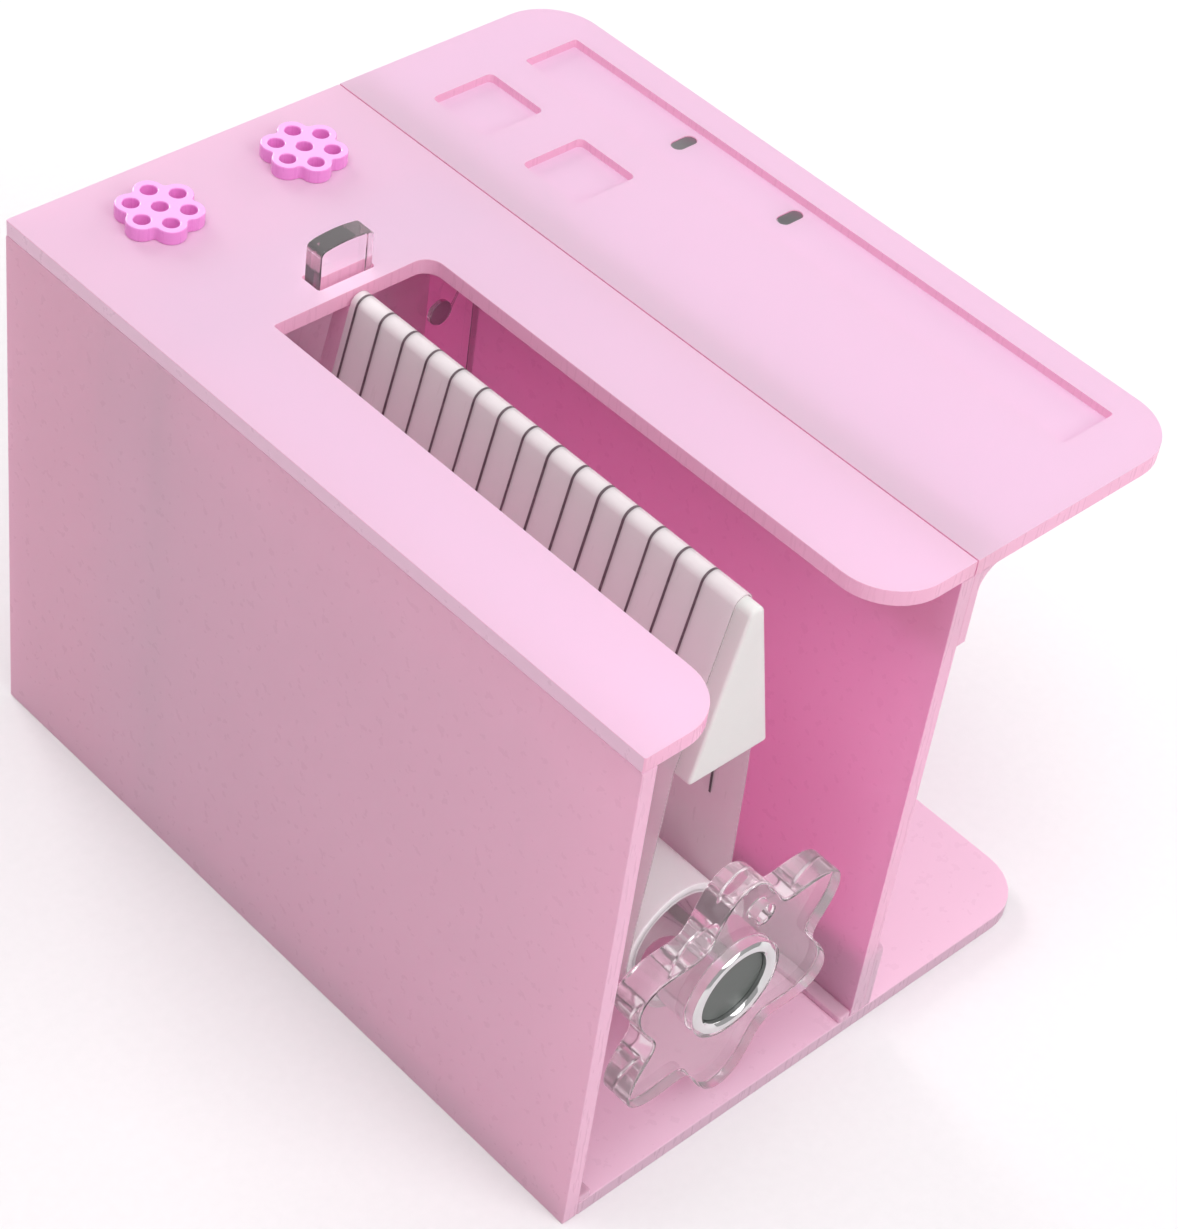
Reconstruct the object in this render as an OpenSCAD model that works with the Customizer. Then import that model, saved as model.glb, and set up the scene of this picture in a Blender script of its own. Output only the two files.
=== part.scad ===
// Hand-turned peeling machine for die-cut tape. Millimetres, +Z up, front towards -Y.
// The origin is under the middle of the whole outline, on the table.
// Inside the file, positions are counted from the left front bottom corner and at_corner() moves them.

/* [Case] */
// Thickness of every coloured sheet
sheet_t = 2.8; // [2.5:0.1:3.2]
// Width of the closed case, left face to right face
case_w = 65; // [62:1:70]
// Depth of the case, front to back
case_d = 140; // [138:1:150]
// Height of the top surface over the table
case_h = 100; // [98:1:110]
// Right edge of the base sheet, from the left face
base_w = 106.7; // [100:0.1:110]
// Corner radius of the base sheet's right corners
base_corner_r = 9.5; // [4:0.5:12]
// Front face of the inner back wall
bulkhead_y = 114; // [112:0.5:118]

/* [Top sheets] */
// Right edge of the shelf, from the left face
shelf_edge = 112; // [108:1:116]
// Corner radius of the shelf's right corners
shelf_corner_r = 10; // [4:0.5:14]
// Gap of the seam between lid and shelf
seam_gap = 0.2; // [0.1:0.1:0.4]
// Left side of the slot in the lid
slot_left = 17; // [14:0.5:20]
// Right side of the slot in the lid
slot_right = 47.3; // [45:0.1:50]
// Back end of the slot
slot_back = 97.3; // [95:0.1:98]
// Front corner radius of the left arm
left_arm_r = 9; // [4:0.5:12]
// Front corner radius of the right arm
right_arm_r = 10; // [4:0.5:12]
// Radius of the slot's back right corner
slot_corner_r = 3; // [1:0.5:5]

/* [Shelf recesses] */
// Depth of the recesses in the shelf
recess_depth = 1.5; // [0.6:0.1:1.8]
// Left side of the long tool recess
tool_x = 94.8; // [92:0.2:97]
// Width of the long tool recess
tool_w = 11.4; // [8:0.2:12]
// Front end of the long tool recess
tool_y = 10; // [6:1:20]
// Length of the long tool recess
tool_len = 118.4; // [100:0.4:122]
// Left side of the two square recesses
square_x = 74.8; // [70:0.2:78]
// Side of the two square recesses
square_size = 12.8; // [8:0.2:15]
// Front edges of the two square recesses
square_ys = [94.2, 115.9]; // [60:0.1:122]
// Distances of the two oval shelf magnets from the front
magnet_ys = [73.9, 98.1]; // [20:0.1:120]
// Middle of the oval magnets, from the left face
magnet_x = 102.3; // [99:0.1:103]
// Length of an oval magnet, across the recess
magnet_len = 5; // [3.5:0.1:6]
// Width of an oval magnet
magnet_w = 2.4; // [1.5:0.1:3]

/* [Flower badges] */
// Middles of the two badges, from the left face
badge_xs = [19, 47]; // [8:0.5:56]
// Middles of the two badges, from the front
badge_y = 127.2; // [115:0.1:131]
// Thickness of a badge
badge_t = 2.5; // [1.5:0.1:4]
// Distance of the petals from the badge's centre
petal_pitch = 4.4; // [3.5:0.1:5]
// Radius of a petal
petal_r = 2.5; // [2.3:0.1:3]
// Radius of the seven holes in a badge
badge_hole_r = 1.3; // [0.8:0.1:1.5]
// Turn of the petals, in degrees
badge_turn = 15; // [0:1:59]

/* [Wedge] */
// Middle of the wedge, from the left face
wedge_x = 33.2; // [32:0.1:34]
// Height of the wedge's rounded apex
wedge_top = 99.1; // [97:0.1:100]
// Height of the wedge's flat underside
wedge_bottom = 68.8; // [65:0.2:72]
// Width of the wedge's underside
wedge_w = 16; // [14:0.5:18]
// Radius of the apex
wedge_tip_r = 1.5; // [0.8:0.1:2]
// Front end of the wedge
wedge_front = 12; // [10:0.5:14]
// Clearance between the wedge's parts and the lid
wedge_clearance = 0.3; // [0.2:0.1:0.6]

/* [Film] */
// Thickness of the ruled film
film_t = 0.35; // [0.3:0.05:0.6]
// Front edge of the film
film_front = 15; // [13:0.1:16]
// Clearance of the film on the wedge
film_gap = 0.05; // [0.02:0.01:0.1]
// Inside radius of the film where it goes round the roller
film_turn_r = 10.2; // [10.1:0.1:11]

/* [Roller] */
// Roller axis, from the left face
roller_x = 33; // [31:0.1:35]
// Roller axis, over the table
roller_z = 28.7; // [27:0.1:32]
// Radius of the white roller
roller_r = 9.8; // [9:0.1:9.8]
// Front end of the white roller
roller_front = 15.5; // [14:0.1:18]
// Back end of the white roller
roller_back = 97; // [90:0.5:98]
// Radius of the spindle
spindle_r = 3; // [2:0.1:4]
// Radial running clearance of the spindle in its bearing
spindle_clearance = 0.05; // [0.01:0.01:0.1]

/* [Flower knob] */
// Mean radius of the knob
knob_r = 20.3; // [18:0.1:21]
// Height of the waves on the knob's edge, middle to crest
knob_wave = 3.4; // [2:0.1:4]
// Number of petals on the knob
knob_petals = 6; // [5:1:8]
// Turn of the first petal, in degrees
knob_turn = 33; // [0:1:59]
// Front face of the knob
knob_front = 2; // [1.5:0.1:3]
// Thickness of the knob
knob_t = 5.6; // [4:0.1:6]
// Radius of the winding hole in the knob
finger_r = 1.7; // [1:0.1:2]
// Distance of the winding hole from the axis
finger_pitch = 14.9; // [13:0.1:15.5]
// Direction of the winding hole, in degrees from the right
finger_turn = 77; // [70:1:115]
// Outside radius of the chrome hub
hub_r = 8.75; // [8:0.05:9.5]
// Inside radius of the chrome hub
hub_bore_r = 6.7; // [6:0.1:7]
// Front end of the chrome hub
hub_front = 1.8; // [0.4:0.1:2]

/* [Carrier] */
// Front face of the clear carrier plate
carrier_y = 100.2; // [100:0.1:102]
// Thickness of the clear carrier plate
carrier_t = 3.6; // [3:0.1:4]
// Left side of the tab
tab_x = 28; // [26:0.5:30]
// Width of the tab
tab_w = 10.3; // [8:0.1:12]
// Height of the tab over the top surface
tab_h = 7; // [5:0.5:9]
// Clearance round the tab in the lid
tab_clearance = 0.3; // [0.2:0.05:0.5]
// Radius of the round magnet in the plate's front face
plate_magnet_r = 2.2; // [1.5:0.1:3]
// Place of the round magnet, from the left face
plate_magnet_x = 53.7; // [50:0.1:57]
// Place of the round magnet, over the table
plate_magnet_z = 84; // [75:0.5:90]

/* [Corner strips] */
// Thickness of the two corner strips
strip_t = 1.8; // [1.2:0.1:2.5]
// Height of the two corner strips
strip_h = 14; // [10:0.5:18]
// Reach of the flare under the shelf
flare_w = 5.8; // [4:0.1:8]
// Width of the floor rails
rail_w = 2.6; // [2:0.1:3.5]
// Height of the floor rails
rail_h = 1.4; // [1:0.1:2.5]

/* [Hidden] */
$fn = 64;
under_top = case_h - sheet_t;
wedge_back = slot_back - wedge_clearance;
film_back = wedge_back - 0.2;
end_plate_top = under_top - wedge_clearance;
bearing_r = 6;
bearing_flange_r = 8;
bearing_flange_t = 1.2;
collar_r = 5.5;
collar_t = 3;
collar_gap = 0.4;
collar_y = carrier_y + carrier_t + bearing_flange_t + collar_gap;
spindle_front = roller_front + 4;
spindle_back = collar_y + collar_t + 1;
plug_t = 2;
plug_recess = 1.2;
magnet_t = 0.9;
plate_magnet_t = 1.5;
// Little push that keeps cutting bodies clear of the faces they pass
eps = 0.5;

// Moves from the left front bottom corner to the middle of the outline.
module at_corner() {
    translate([-shelf_edge / 2, -case_d / 2, 0]) children();
}

// A plain sheet from corner to corner.
module slab(from, to) {
    translate(from) cube(to - from);
}

// A flat outline whose right corners are round and whose left corners are sharp.
module right_rounded(x0, x1, y1, r) {
    union() {
        translate([x0, 0]) square([x1 - r - x0, y1]);
        translate([x0, r]) square([x1 - x0, y1 - 2 * r]);
        for (y = [r, y1 - r]) translate([x1 - r, y]) circle(r);
    }
}

// A round solid along Y, from the front face y0 for the length len, on the roller's axis.
module on_axis(r, y0, len) {
    translate([roller_x, y0, roller_z]) rotate([-90, 0, 0]) cylinder(r = r, h = len);
}

// A square corner with its inside replaced by an arc, for rounding an outline by cutting.
module corner_cut(r) {
    difference() {
        square(r + eps);
        circle(r);
    }
}

module base_plate() {
    color("#f3c3de") at_corner()
        linear_extrude(sheet_t) right_rounded(sheet_t, base_w, case_d, base_corner_r);
}

module left_wall() {
    color("#eeb9d9") at_corner() slab([0, 0, 0], [sheet_t, case_d, under_top]);
}

module right_wall() {
    color("#eeb9d9") at_corner()
        slab([case_w - sheet_t, 0, sheet_t], [case_w, case_d, under_top]);
}

// Inner and rear cross walls stand between the side walls on the base.
module cross_wall(y0) {
    slab([sheet_t, y0, sheet_t], [case_w - sheet_t, y0 + sheet_t, under_top]);
}

module bulkhead() {
    color("#e69bc3") at_corner() cross_wall(bulkhead_y);
}

module rear_wall() {
    color("#eeb9d9") at_corner() cross_wall(case_d - sheet_t);
}

module shelf_plate() {
    color("#f5d2eb") at_corner() difference() {
        translate([0, 0, under_top])
            linear_extrude(sheet_t) right_rounded(case_w, shelf_edge, case_d, shelf_corner_r);
        translate([0, 0, case_h - recess_depth]) {
            translate([tool_x, tool_y]) cube([tool_w, tool_len, recess_depth + eps]);
            for (y = square_ys)
                translate([square_x, y]) cube([square_size, square_size, recess_depth + eps]);
        }
        oval_magnets(magnet_t + eps);
    }
}

// Two ovals that lie across the tool recess, standing h up from their pockets' floors.
module oval_magnets(h) {
    for (y = magnet_ys)
        translate([magnet_x, y, case_h - recess_depth - magnet_t]) linear_extrude(h) union() {
            square([magnet_len - magnet_w, magnet_w], center = true);
            for (side = [-1, 1])
                translate([side * (magnet_len - magnet_w) / 2, 0]) circle(magnet_w / 2);
        }
}

module shelf_magnets() {
    color("#858085") at_corner() oval_magnets(magnet_t);
}

// Pocket or magnet in the front face of the clear plate, from y0 and len deep.
module plate_magnet_disc(y0, len) {
    translate([plate_magnet_x, y0, plate_magnet_z]) rotate([-90, 0, 0])
        cylinder(r = plate_magnet_r, h = len);
}

module plate_magnet() {
    color("#858085") at_corner() plate_magnet_disc(carrier_y, plate_magnet_t);
}

// Strip in the corner under the shelf, with a hollow flare that carries the overhang.
module shelf_strip() {
    flare_r = flare_w - strip_t;
    profile = concat(
        [[0, -strip_h], [strip_t, -strip_h], [strip_t, -flare_r]],
        [for (a = [15:15:90]) [strip_t + flare_r * (1 - cos(a)), -flare_r * (1 - sin(a))]],
        [[0, 0]]
    );
    color("#eeb9d9") at_corner()
        translate([case_w, case_d, under_top]) rotate([90, 0, 0])
            linear_extrude(case_d) polygon(profile);
}

module foot_strip() {
    color("#eeb9d9") at_corner()
        slab([case_w, 0, sheet_t], [case_w + strip_t, case_d, sheet_t + strip_h]);
}

// Low rails along the feet of the side walls, up to the carrier plate.
module floor_rails() {
    color("#eeb9d9") at_corner()
        for (x = [sheet_t, case_w - sheet_t - rail_w])
            slab([x, 0, sheet_t], [x + rail_w, carrier_y, sheet_t + rail_h]);
}

// Clear plate across the case that holds the wedge and the roller, with a tab through the lid.
module carrier_plate() {
    color("#f2e6ec", 0.45) at_corner() difference() {
        union() {
            slab([sheet_t, carrier_y, sheet_t],
                [case_w - sheet_t, carrier_y + carrier_t, under_top]);
            slab([tab_x, carrier_y, under_top - eps],
                [tab_x + tab_w, carrier_y + carrier_t, case_h + tab_h]);
        }
        on_axis(bearing_r, carrier_y - eps, carrier_t + 2 * eps);
        plate_magnet_disc(carrier_y - eps, plate_magnet_t + eps);
    }
}

module rear_bearing() {
    color("#d9c07a") at_corner() difference() {
        union() {
            on_axis(bearing_r, carrier_y, carrier_t);
            on_axis(bearing_flange_r, carrier_y + carrier_t, bearing_flange_t);
        }
        on_axis(spindle_r + spindle_clearance, carrier_y - eps,
            carrier_t + bearing_flange_t + 2 * eps);
    }
}

// Outline of the wedge seen from the front, grown outwards by g. The tip is an arc.
function wedge_outline(g = 0) =
    let (
        slope = atan((wedge_w / 2) / (wedge_top - wedge_bottom)),
        tip_z = wedge_top - wedge_tip_r,
        r = wedge_tip_r + g,
        half = wedge_w / 2 + g
    )
    concat(
        [[-half, wedge_bottom - g]],
        [for (i = [0:8]) let (a = 180 - slope - i * (180 - 2 * slope) / 8)
            [r * cos(a), tip_z + r * sin(a)]],
        [[half, wedge_bottom - g]]
    );

// A flat front view outline, drawn in X and Z, made into a solid from y0 to y1.
module along_y(y0, y1) {
    translate([0, y1, 0]) rotate([90, 0, 0]) linear_extrude(y1 - y0) children();
}

module wedge_bar() {
    color("#e6dfe0") at_corner() along_y(wedge_front, wedge_back)
        translate([wedge_x, 0]) polygon(wedge_outline());
}

// Same outline as the wedge, with its tip cut off under the lid.
module wedge_end_plate() {
    color("#e69bc3") at_corner() along_y(wedge_back, carrier_y) intersection() {
        translate([wedge_x, 0]) polygon(wedge_outline());
        square([case_w, end_plate_top]);
    }
}

// Inside line of the film: over the wedge and round the roller, grown by g.
module film_line(g) {
    hull() {
        translate([wedge_x, 0]) polygon(wedge_outline(film_gap + g));
        translate([roller_x, roller_z]) circle(film_turn_r + g, $fn = 48);
    }
}

module ruled_film() {
    color("#f0eaec") at_corner() along_y(film_front, film_back) difference() {
        film_line(film_t);
        film_line(0);
    }
}

// Loose top sheet over the case, with the slot open to the front and a hole for the tab.
module lid_plate() {
    color("#f5d2eb") at_corner() translate([0, 0, under_top]) linear_extrude(sheet_t)
        difference() {
            square([case_w - seam_gap, case_d]);
            difference() {
                translate([slot_left, -eps]) square([slot_right - slot_left, slot_back + eps]);
                translate([slot_right - slot_corner_r, slot_back - slot_corner_r])
                    corner_cut(slot_corner_r);
            }
            translate([slot_left - left_arm_r, left_arm_r]) mirror([0, 1])
                corner_cut(left_arm_r);
            translate([slot_right + right_arm_r, right_arm_r]) rotate(180)
                corner_cut(right_arm_r);
            translate([tab_x - tab_clearance, carrier_y - tab_clearance])
                square([tab_w + 2 * tab_clearance, carrier_t + 2 * tab_clearance]);
        }
}

// Six petals round a middle hole, each petal with a hole.
module flower_badge(x) {
    color("#f27fdc") at_corner() translate([x, badge_y, case_h])
        linear_extrude(badge_t) difference() {
            union() {
                circle(petal_pitch);
                for (k = [0:5]) rotate(badge_turn + 60 * k)
                    translate([petal_pitch, 0]) circle(petal_r);
            }
            circle(badge_hole_r);
            for (k = [0:5]) rotate(badge_turn + 60 * k)
                translate([petal_pitch, 0]) circle(badge_hole_r);
        }
}

module flower_badge_left() { flower_badge(badge_xs[0]); }

module flower_badge_right() { flower_badge(badge_xs[1]); }

// Clear finger wheel: its edge is one even wave.
module flower_knob() {
    outline = [for (a = [0:2.5:357.5])
        (knob_r + knob_wave * cos(knob_petals * (a - knob_turn))) * [cos(a), sin(a)]];
    finger = finger_pitch * [cos(finger_turn), sin(finger_turn)];
    color("#f6eef2", 0.4) at_corner() difference() {
        along_y(knob_front, knob_front + knob_t)
            translate([roller_x, roller_z]) polygon(outline);
        on_axis(hub_r, knob_front - eps, knob_t + 2 * eps);
        translate([finger[0], 0, finger[1]])
            on_axis(finger_r, knob_front - eps, knob_t + 2 * eps);
    }
}

module knob_hub() {
    color("#d5d6d8") at_corner() difference() {
        on_axis(hub_r, hub_front, roller_front - hub_front);
        on_axis(hub_bore_r, hub_front - eps, roller_front - hub_front + 2 * eps);
    }
}

module hub_plug() {
    color("#5f6864") at_corner() on_axis(hub_bore_r, hub_front + plug_recess, plug_t);
}

module roller_core() {
    color("#f2f0f0") at_corner() difference() {
        on_axis(roller_r, roller_front, roller_back - roller_front);
        on_axis(spindle_r, spindle_front, roller_back - spindle_front + eps);
    }
}

module spindle() {
    color("#b8babd") at_corner() on_axis(spindle_r, spindle_front, spindle_back - spindle_front);
}

module retaining_collar() {
    color("#d5d6d8") at_corner() difference() {
        on_axis(collar_r, collar_y, collar_t);
        on_axis(spindle_r, collar_y - eps, collar_t + 2 * eps);
    }
}

base_plate();
left_wall();
right_wall();
bulkhead();
rear_wall();
shelf_plate();
shelf_strip();
foot_strip();
floor_rails();
shelf_magnets();
plate_magnet();
carrier_plate();
rear_bearing();
wedge_bar();
wedge_end_plate();
ruled_film();
lid_plate();
flower_badge_left();
flower_badge_right();
flower_knob();
knob_hub();
hub_plug();
roller_core();
spindle();
retaining_collar();
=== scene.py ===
import random
from math import atan2, cos, pi, radians, sin, tan

import bmesh
import bpy
from mathutils import Matrix, Vector, geometry


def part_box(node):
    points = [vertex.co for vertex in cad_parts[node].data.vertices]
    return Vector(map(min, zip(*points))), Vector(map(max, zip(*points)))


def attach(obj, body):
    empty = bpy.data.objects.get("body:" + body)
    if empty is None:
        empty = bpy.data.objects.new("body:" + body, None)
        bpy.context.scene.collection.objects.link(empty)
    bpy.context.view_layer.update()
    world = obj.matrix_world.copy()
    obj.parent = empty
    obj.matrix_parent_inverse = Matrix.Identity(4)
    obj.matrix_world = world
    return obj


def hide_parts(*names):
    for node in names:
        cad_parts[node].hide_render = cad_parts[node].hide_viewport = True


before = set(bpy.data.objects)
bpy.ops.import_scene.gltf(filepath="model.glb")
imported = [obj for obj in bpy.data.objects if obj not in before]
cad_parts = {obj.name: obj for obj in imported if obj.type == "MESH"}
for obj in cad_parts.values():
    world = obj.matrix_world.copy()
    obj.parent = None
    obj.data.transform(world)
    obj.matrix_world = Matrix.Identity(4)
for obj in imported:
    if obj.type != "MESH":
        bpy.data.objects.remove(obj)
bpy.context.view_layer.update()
print("frame loaded")

mm = 0.001
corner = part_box("left_wall")[0]  # left front bottom corner of the case: outlines are counted from it


def place(x, y, z):
    return corner + Vector((x, y, z)) * mm


# small mesh helpers
def filletOutline(points, steps=8):
    # points are (x, y, radius); a radius of 0 keeps the corner sharp
    outline = []
    count = len(points)
    for i, (x, y, r) in enumerate(points):
        here = Vector((x, y))
        if r <= 0:
            outline.append(here)
            continue
        before = (Vector(points[i - 1][:2]) - here).normalized()
        after = (Vector(points[(i + 1) % count][:2]) - here).normalized()
        half = before.angle(after) / 2
        centre = here + (before + after).normalized() * (r / sin(half))
        start = here + before * (r / tan(half)) - centre
        end = here + after * (r / tan(half)) - centre
        a0, a1 = atan2(start.y, start.x), atan2(end.y, end.x)
        turn = (a1 - a0 + pi) % (2 * pi) - pi
        for k in range(steps + 1):
            a = a0 + turn * k / steps
            outline.append(centre + Vector((cos(a), sin(a))) * r)
    return outline


def circleOutline(x, y, r, count=48):
    angles = [2 * pi * k / count for k in range(count)]
    return [Vector((x + r * cos(a), y + r * sin(a))) for a in angles]


def rectangle(x0, y0, x1, y1):
    return [(x0, y0), (x1, y0), (x1, y1), (x0, y1)]


def rounded(points, r):
    return filletOutline([(x, y, r) for x, y in points])


def newPiece(name, mesh, body, replaced=()):
    piece = bpy.data.objects.new(name, mesh)
    bpy.context.scene.collection.objects.link(piece)
    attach(piece, body)
    if replaced:
        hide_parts(*replaced)
    return piece


def smoothShade(mesh):
    for polygon in mesh.polygons:
        polygon.use_smooth = True


def weightNormals(piece):
    keep = piece.modifiers.new("weightedNormals", "WEIGHTED_NORMAL")
    keep.keep_sharp = True
    keep.weight = 100


def flatMesh(name, outlines, thickness, edge, steps=3):
    # a flat piece round z = 0 whose long edges are all rounded; outlines are in millimetres
    curve = bpy.data.curves.new(name, "CURVE")
    curve.dimensions = "2D"
    curve.fill_mode = "BOTH"
    curve.extrude = (thickness / 2 - edge) * mm
    curve.bevel_depth = edge * mm
    curve.bevel_resolution = steps
    curve.offset = -edge * mm
    for outline in outlines:
        spline = curve.splines.new("POLY")
        spline.points.add(len(outline) - 1)
        for point, (x, y) in zip(spline.points, outline):
            point.co = (x * mm, y * mm, 0, 1)
        spline.use_cyclic_u = True
    holder = bpy.data.objects.new(name, curve)
    bpy.context.scene.collection.objects.link(holder)
    graph = bpy.context.evaluated_depsgraph_get()
    mesh = bpy.data.meshes.new_from_object(holder.evaluated_get(graph))
    bpy.data.objects.remove(holder)
    bpy.data.curves.remove(curve)
    mesh.name = name
    cleanMesh(mesh)
    return mesh


def cleanMesh(mesh, distance=0.000002):
    work = bmesh.new()
    work.from_mesh(mesh)
    bmesh.ops.remove_doubles(work, verts=work.verts, dist=distance)
    bmesh.ops.dissolve_degenerate(work, dist=distance, edges=work.edges)
    bmesh.ops.recalc_face_normals(work, faces=work.faces)
    work.to_mesh(mesh)
    work.free()
    smoothShade(mesh)


# turns of a flat piece: lying (normal +Z), facing the front (normal -Y), standing sideways (normal +X)
lying = Matrix.Identity(4)
facingFront = Matrix.Rotation(radians(90), 4, "X")
sideways = Matrix(((0, 0, 1, 0), (1, 0, 0, 0), (0, 1, 0, 0), (0, 0, 0, 1)))


def setMesh(mesh, turn, middle):
    mesh.transform(Matrix.Translation(middle) @ turn)
    return mesh


def sheetMaterials(mesh, faceMaterial, edgeMaterial, normal):
    # broad faces take the first material, cut edges the second
    mesh.materials.clear()
    mesh.materials.append(faceMaterial)
    mesh.materials.append(edgeMaterial)
    axis = Vector(normal)
    for polygon in mesh.polygons:
        polygon.material_index = 0 if abs(polygon.normal.dot(axis)) > 0.8 else 1


def latheMesh(name, profile, closed=False, count=96):
    # profile is a list of (radius, distance along Y) in millimetres, turned round the Y axis
    work = bmesh.new()
    rings = []
    for r, y in profile:
        if r == 0:
            rings.append([work.verts.new((0, y * mm, 0))])
        else:
            rings.append([work.verts.new((r * mm * cos(2 * pi * k / count), y * mm,
                                          r * mm * sin(2 * pi * k / count))) for k in range(count)])
    pairs = list(zip(rings, rings[1:])) + ([(rings[-1], rings[0])] if closed else [])
    for first, second in pairs:
        for k in range(count):
            n = (k + 1) % count
            quad = [first[k % len(first)], first[n % len(first)],
                    second[n % len(second)], second[k % len(second)]]
            quad = list(dict.fromkeys(quad))
            if len(quad) > 2:
                work.faces.new(quad)
    bmesh.ops.recalc_face_normals(work, faces=work.faces)
    mesh = bpy.data.meshes.new(name)
    work.to_mesh(mesh)
    work.free()
    smoothShade(mesh)
    return mesh


def softCorners(points, r=0.25, steps=3):
    # rounds each corner of a lathe profile
    return [tuple(p) for p in filletOutline([(x, y, 0 if x == 0 else r) for x, y in points], steps)]


# materials: one maker for each kind, one dictionary for its looks
def newMaterial(name):
    material = bpy.data.materials.new(name)
    material.use_nodes = True
    nodes, links = material.node_tree.nodes, material.node_tree.links
    shader = nodes["Principled BSDF"]
    spot = nodes.new("ShaderNodeTexCoord")
    return material, nodes, links, shader, spot.outputs["Object"]


def addNoise(nodes, links, where, scale, detail=3.0, roughness=0.5, stretch=None):
    if stretch:
        mapping = nodes.new("ShaderNodeMapping")
        mapping.inputs["Scale"].default_value = stretch
        links.new(where, mapping.inputs["Vector"])
        where = mapping.outputs["Vector"]
    noise = nodes.new("ShaderNodeTexNoise")
    noise.inputs["Scale"].default_value = scale
    noise.inputs["Detail"].default_value = detail
    noise.inputs["Roughness"].default_value = roughness
    links.new(where, noise.inputs["Vector"])
    return noise.outputs["Fac"]


def addRange(nodes, links, value, low, high, fromLow=0.0, fromHigh=1.0):
    spread = nodes.new("ShaderNodeMapRange")
    spread.inputs["From Min"].default_value = fromLow
    spread.inputs["From Max"].default_value = fromHigh
    spread.inputs["To Min"].default_value = low
    spread.inputs["To Max"].default_value = high
    links.new(value, spread.inputs["Value"])
    return spread.outputs["Result"]


def addColours(nodes, links, value, stops):
    ramp = nodes.new("ShaderNodeValToRGB")
    while len(ramp.color_ramp.elements) < len(stops):
        ramp.color_ramp.elements.new(0.5)
    for element, (spot, colour) in zip(ramp.color_ramp.elements, stops):
        element.position = spot
        element.color = (*colour, 1)
    links.new(value, ramp.inputs["Fac"])
    return ramp.outputs["Color"]


def addBump(nodes, links, shader, heights):
    # heights is a list of (value, strength, distance); each is laid over the one before
    under = None
    for value, strength, distance in heights:
        bump = nodes.new("ShaderNodeBump")
        bump.inputs["Strength"].default_value = strength
        bump.inputs["Distance"].default_value = distance
        links.new(value, bump.inputs["Height"])
        if under:
            links.new(under, bump.inputs["Normal"])
        under = bump.outputs["Normal"]
    links.new(under, shader.inputs["Normal"])


def mixTones(tone, amount):
    return [c * (1 - amount) for c in tone], [min(1.0, c * (1 + amount)) for c in tone]


def letThrough(nodes, links, shader, tone, share):
    # part of the light sinks through the sheet and comes out on its other side
    through = nodes.new("ShaderNodeBsdfTranslucent")
    through.inputs["Color"].default_value = (*tone, 1)
    blend = nodes.new("ShaderNodeMixShader")
    blend.inputs["Fac"].default_value = share
    links.new(shader.outputs["BSDF"], blend.inputs[1])
    links.new(through.outputs["BSDF"], blend.inputs[2])
    links.new(blend.outputs["Shader"], nodes["Material Output"].inputs["Surface"])


# polished cast sheet: faint cloud in the colour, polish marks in the gloss, a trace of orange peel
sheetLook = {
    "pinkSheet": {"tone": (0.89, 0.645, 0.775), "through": (1.0, 0.58, 0.76), "share": 0.45, "cloud": 0.012,
                  "gloss": (0.26, 0.34)},
    "paleSheet": {"tone": (0.86, 0.77, 0.89), "through": (1.0, 0.62, 0.84), "share": 0.45, "cloud": 0.010,
                  "gloss": (0.30, 0.38)},
    # the right wall's sheet: painted shade, a deeper and more saturated pink than the left wall's sheet,
    # standing in for the shade and pink interreflection inside the case
    "shadedInnerSheet": {"tone": (0.97, 0.54, 0.75), "through": (1.0, 0.47, 0.76), "share": 0.42, "cloud": 0.012,
                   "gloss": (0.26, 0.34)},
    # the bulkhead's sheet: painted light, toned lighter than the walls' sheet so the wall under the lid
    # reads as brightly lit
    "litBackSheet": {"tone": (1.0, 0.72, 0.86), "through": (1.0, 0.60, 0.80), "share": 0.10, "cloud": 0.012,
                  "gloss": (0.26, 0.34)},
    # the lid's left side face: painted shade, a darker copy of the sheet
    "lidShadedSide": {"tone": (0.80, 0.56, 0.69), "through": (1.0, 0.60, 0.80), "share": 0.15, "cloud": 0.012,
                "gloss": (0.26, 0.34)},
    "lidSheet": {"tone": (1.0, 0.84, 1.0), "through": (1.0, 0.66, 0.86), "share": 0.48, "cloud": 0.010,
                 "gloss": (0.30, 0.38)},
    "baseSheet": {"tone": (0.96, 0.64, 0.80), "through": (1.0, 0.58, 0.76), "share": 0.12, "cloud": 0.012,
                  "gloss": (0.26, 0.34)},
    "magentaSheet": {"tone": (1.0, 0.52, 1.0), "through": (1.0, 0.40, 1.0), "share": 0.10, "cloud": 0.03,
                     "gloss": (0.16, 0.26)},
}


def makeSheet(name, look):
    material, nodes, links, shader, where = newMaterial(name)
    cloud = addNoise(nodes, links, where, 26, 3)
    low, high = mixTones(look["tone"], look["cloud"])
    links.new(addColours(nodes, links, cloud, [(0.3, low), (0.7, high)]), shader.inputs["Base Color"])
    marks = addNoise(nodes, links, where, 500, 3, 0.5)
    links.new(addRange(nodes, links, marks, *look["gloss"], 0.3, 0.7), shader.inputs["Roughness"])
    peel = addNoise(nodes, links, where, 420, 2)
    addBump(nodes, links, shader, [(peel, 0.02, 0.00022)])
    shader.inputs["IOR"].default_value = 1.49
    shader.inputs["Coat Weight"].default_value = 0.25
    shader.inputs["Coat Roughness"].default_value = 0.12
    letThrough(nodes, links, shader, look["through"], look["share"])
    return material


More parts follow.
